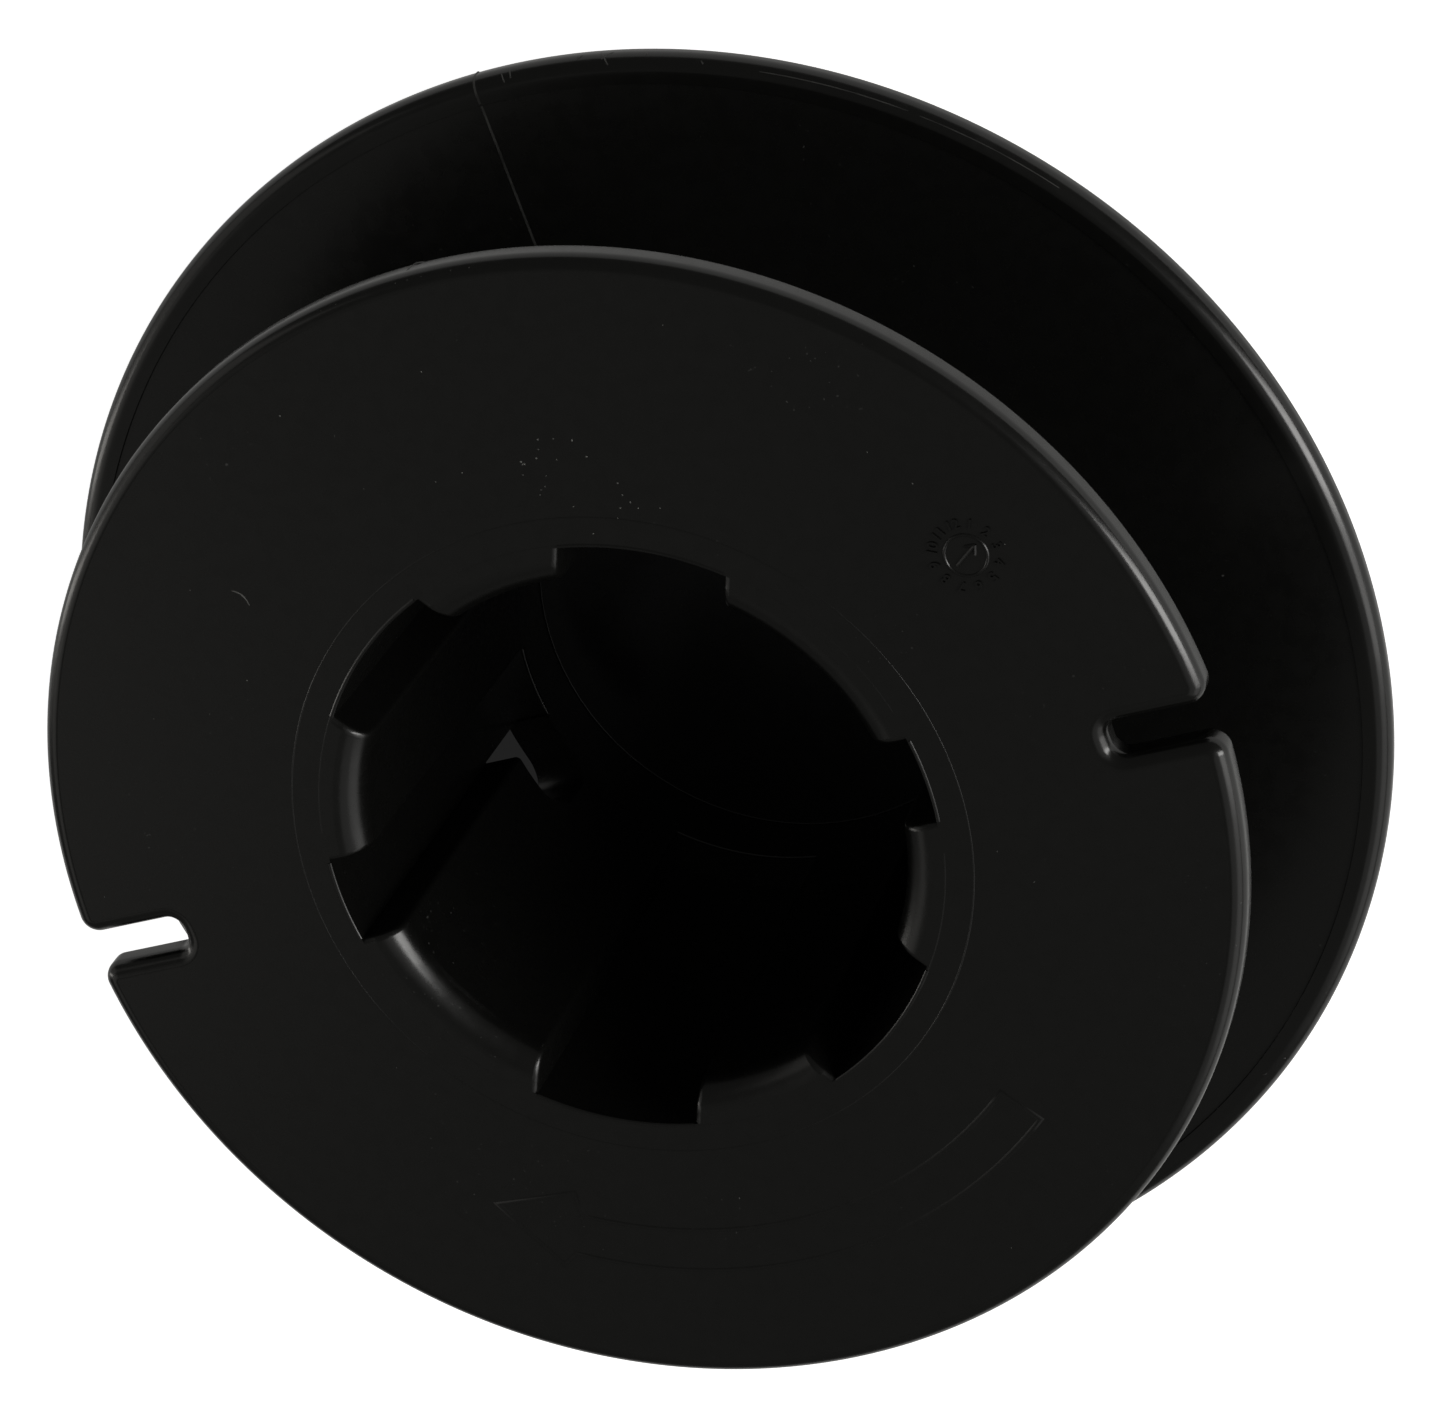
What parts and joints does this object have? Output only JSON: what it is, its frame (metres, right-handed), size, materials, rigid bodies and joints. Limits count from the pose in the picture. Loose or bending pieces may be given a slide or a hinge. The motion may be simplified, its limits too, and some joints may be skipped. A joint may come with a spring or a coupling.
{
  "type": "trimmer line spool",
  "caption": "Black moulded spool for a bump-feed line trimmer head: slotted front flange, larger rear flange, splined hub open at the front and closed by a round bump end.",
  "frame": {"origin": "centre of the closed bump end's outer face, which the spool stands on", "axes": "+Z along the spool's axis, from the bump end to the open front of the hub; +X towards one of the line slots"},
  "size_m": [0.0866, 0.0866, 0.0388],
  "materials": {
    "spool": "satin black moulded plastic"
  },
  "bodies": {
    "root": {"spool": "spool"}
  },
  "joints": []
}
